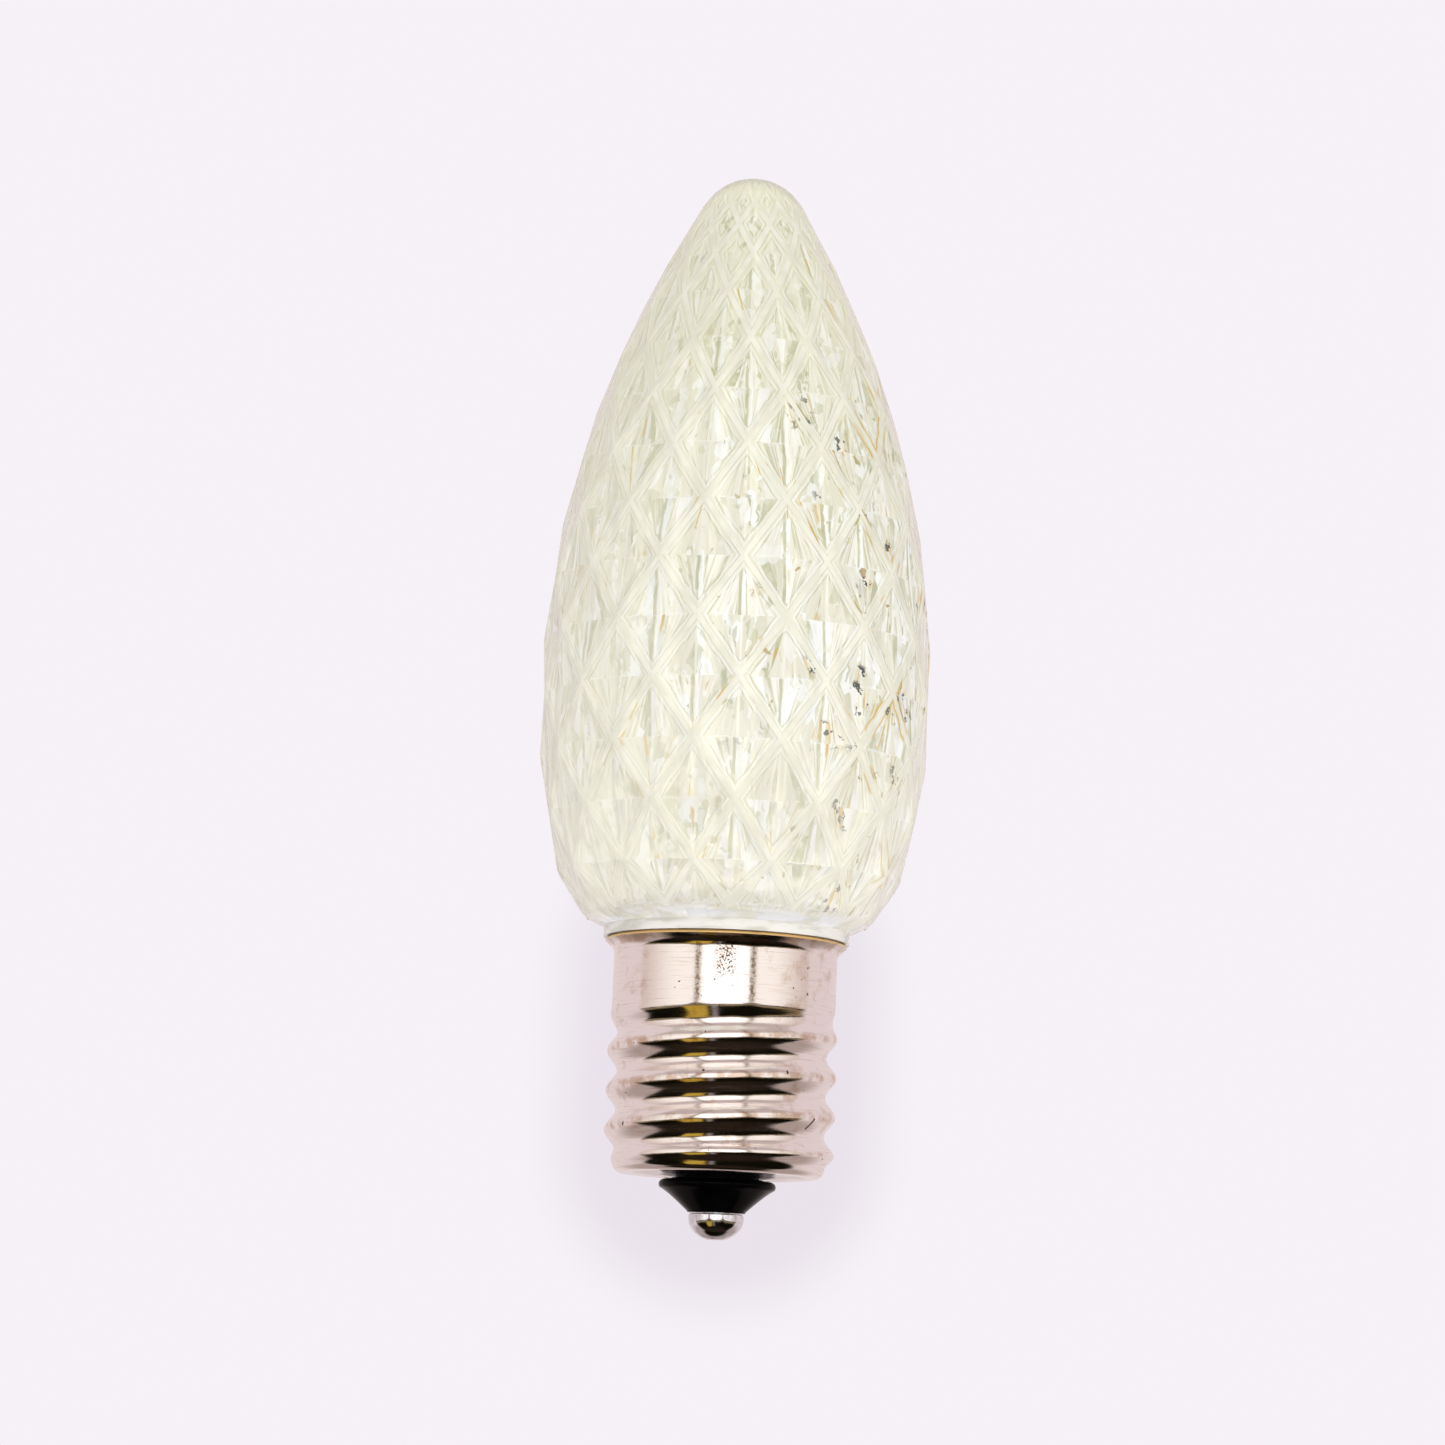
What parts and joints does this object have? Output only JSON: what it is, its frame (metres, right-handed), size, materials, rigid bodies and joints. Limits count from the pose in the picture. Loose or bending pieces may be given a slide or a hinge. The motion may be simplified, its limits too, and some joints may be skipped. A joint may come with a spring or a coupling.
{
  "type": "christmas light bulb",
  "caption": "Clear diamond-faceted LED light bulb with a pointed lens on a rolled screw base with a black insulator and domed contact.",
  "frame": {"origin": "lowest point of the centre contact, on the bulb's axis", "axes": "+Z along the bulb's axis from the contact to the lens's tip; -Y is the side that the picture shows"},
  "size_m": [0.028, 0.0282, 0.0777],
  "materials": {
    "clear_plastic": "clear, polished",
    "nickel": "nickel plated, lightly brushed",
    "black_plastic": "gloss",
    "contact_metal": "tinned",
    "board": "satin",
    "chip_body": "matt",
    "phosphor": "satin",
    "component_black": "matt",
    "resistor_blue": "satin",
    "tinned_wire": "tinned",
    "wire_insulation": "matt"
  },
  "bodies": {
    "root": {"lens": "clear_plastic", "screw_shell": "nickel", "base_insulator": "black_plastic", "centre_contact": "contact_metal", "led_board": "board", "led_chip_1": "chip_body", "led_chip_2": "chip_body", "led_chip_3": "chip_body", "led_chip_4": "chip_body", "led_chip_5": "chip_body", "led_phosphor_1": "phosphor", "led_phosphor_2": "phosphor", "led_phosphor_3": "phosphor", "led_phosphor_4": "phosphor", "led_phosphor_5": "phosphor", "driver_board": "board", "bridge_rectifier": "component_black", "capacitor": "component_black", "capacitor_lead_1": "tinned_wire", "capacitor_lead_2": "tinned_wire", "chip_resistor_1": "component_black", "chip_resistor_2": "component_black", "fuse_resistor": "resistor_blue", "resistor_lead_upper": "tinned_wire", "resistor_lead_lower": "tinned_wire", "shell_lead": "wire_insulation", "shell_solder": "tinned_wire"}
  },
  "joints": []
}
